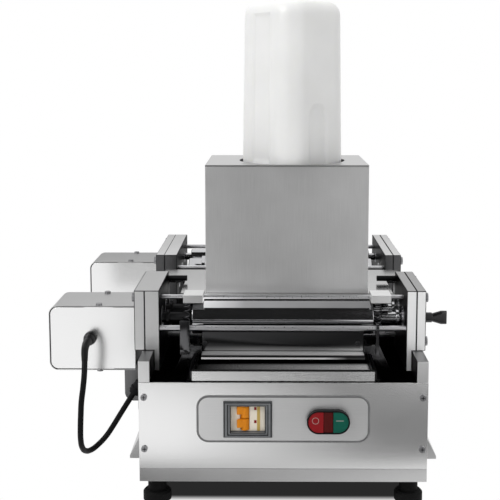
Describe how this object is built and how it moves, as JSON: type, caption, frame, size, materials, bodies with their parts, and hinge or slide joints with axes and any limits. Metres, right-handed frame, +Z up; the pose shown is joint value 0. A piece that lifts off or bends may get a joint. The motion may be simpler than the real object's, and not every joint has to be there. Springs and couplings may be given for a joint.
{
  "type": "crepe maker",
  "caption": "Bench-top sheet rolling machine with a jug-fed hopper over motor-driven rollers, a rear take-off stand, a scraper, a crumb tray and a cabinet base with controls.",
  "frame": {"origin": "on the floor, under the middle of the machine's overall box without its hanging cable", "axes": "+Z up, the controls face -Y, +X to the right as seen from the controls"},
  "size_m": [0.546, 0.5562, 0.674],
  "materials": {
    "rubber": "matt",
    "steel": "brushed",
    "bright_steel": "fine brushed",
    "fasteners": "bright",
    "plate_steel": "ground",
    "roller_chrome": "polished",
    "dark_steel": "blackened",
    "gear_brass": "machined",
    "black_plastic": "satin",
    "cable_jacket": "satin",
    "grey_plastic": "satin",
    "cream_plastic": "satin",
    "orange_plastic": "satin",
    "red_plastic": "gloss",
    "green_plastic": "gloss",
    "lens": "gloss",
    "motor_paint": "painted",
    "jug_plastic": "translucent satin",
    "cap_plastic": "satin"
  },
  "bodies": {
    "frame": {"rubber_feet": "rubber", "foot_bolts": "fasteners", "base_pan": "steel", "base_shell": "steel", "base_top": "steel", "front_panel": "steel", "control_plate": "bright_steel", "screws": "fasteners", "vent_hoods": "steel", "side_rails": "steel", "breaker_bezel": "grey_plastic", "breaker_body": "cream_plastic", "din_rail": "steel", "button_housing": "black_plastic", "pilot_lens": "lens", "contact_block": "black_plastic", "base_gland": "black_plastic", "rear_glands": "black_plastic", "front_left_inner_plate": "plate_steel", "front_left_outer_plate": "plate_steel", "front_right_inner_plate": "plate_steel", "front_right_outer_plate": "plate_steel", "tie_rods": "bright_steel", "roller_bearings": "roller_chrome", "deck_plate": "bright_steel", "deck_blocks": "bright_steel", "block_springs": "fasteners", "deck_brackets": "steel", "deck_lock_pins": "black_plastic", "scraper_arms": "dark_steel", "scraper_plate": "bright_steel", "tray_guides": "steel", "rear_left_plates": "plate_steel", "rear_right_plates": "plate_steel", "front_gearmotor": "motor_paint", "rear_gearmotor": "motor_paint", "front_motor_cover": "bright_steel", "rear_motor_cover": "bright_steel", "cover_end_plates": "bright_steel", "motor_brackets": "steel", "motor_gland": "black_plastic", "motor_cable": "cable_jacket", "hopper_body": "bright_steel", "hopper_lid": "bright_steel"},
    "front_drive": {"front_drive_roller": "roller_chrome", "front_drive_gear": "gear_brass", "hand_knob": "black_plastic"},
    "front_counter": {"front_counter_roller": "roller_chrome", "front_counter_gear": "gear_brass"},
    "rear_drive": {"rear_drive_roller": "roller_chrome", "rear_drive_gear": "gear_brass"},
    "rear_counter": {"rear_counter_roller": "roller_chrome", "rear_counter_gear": "gear_brass"},
    "rear_idler": {"rear_idler_roller": "roller_chrome"},
    "toggle": {"breaker_toggle": "orange_plastic"},
    "stop": {"stop_button": "red_plastic"},
    "start": {"start_button": "green_plastic"},
    "tray": {"crumb_tray": "bright_steel"},
    "jug": {"jug": "jug_plastic", "jug_cap": "cap_plastic"}
  },
  "joints": [
    {"name": "front_spin", "type": "hinge", "parent": "frame", "child": "front_drive", "pos_m": [0.045, -0.17125, 0.236], "axis": [1, 0, 0], "continuous": true},
    {"name": "front_counter_spin", "type": "hinge", "parent": "frame", "child": "front_counter", "pos_m": [0.045, -0.12325, 0.236], "axis": [1, 0, 0], "continuous": true},
    {"name": "rear_spin", "type": "hinge", "parent": "frame", "child": "rear_drive", "pos_m": [0.045, 0.13875, 0.236], "axis": [1, 0, 0], "continuous": true},
    {"name": "rear_counter_spin", "type": "hinge", "parent": "frame", "child": "rear_counter", "pos_m": [0.045, 0.09075, 0.236], "axis": [1, 0, 0], "continuous": true},
    {"name": "idler_spin", "type": "hinge", "parent": "frame", "child": "rear_idler", "pos_m": [0.045, 0.19375, 0.252], "axis": [1, 0, 0], "continuous": true},
    {"name": "toggle_throw", "type": "hinge", "parent": "frame", "child": "toggle", "pos_m": [-0.0055, -0.25625, 0.122], "axis": [0, 0, 1], "range_deg": [0, 95]},
    {"name": "stop_press", "type": "slide", "parent": "frame", "child": "stop", "axis": [0, 1, 0], "range_m": [0, 0.004], "stiffness_N_per_m": 600},
    {"name": "start_press", "type": "slide", "parent": "frame", "child": "start", "axis": [0, 1, 0], "range_m": [0, 0.004], "stiffness_N_per_m": 600},
    {"name": "tray_slide", "type": "slide", "parent": "frame", "child": "tray", "axis": [0, -1, 0], "range_m": [0, 0.14]},
    {"name": "jug_lift", "type": "slide", "parent": "frame", "child": "jug", "axis": [0, 0, 1], "range_m": [0, 0.12]}
  ],
  "couplings": [
    {"joint": "front_counter_spin", "follows": "front_spin", "ratio": -1},
    {"joint": "rear_counter_spin", "follows": "rear_spin", "ratio": -1}
  ]
}
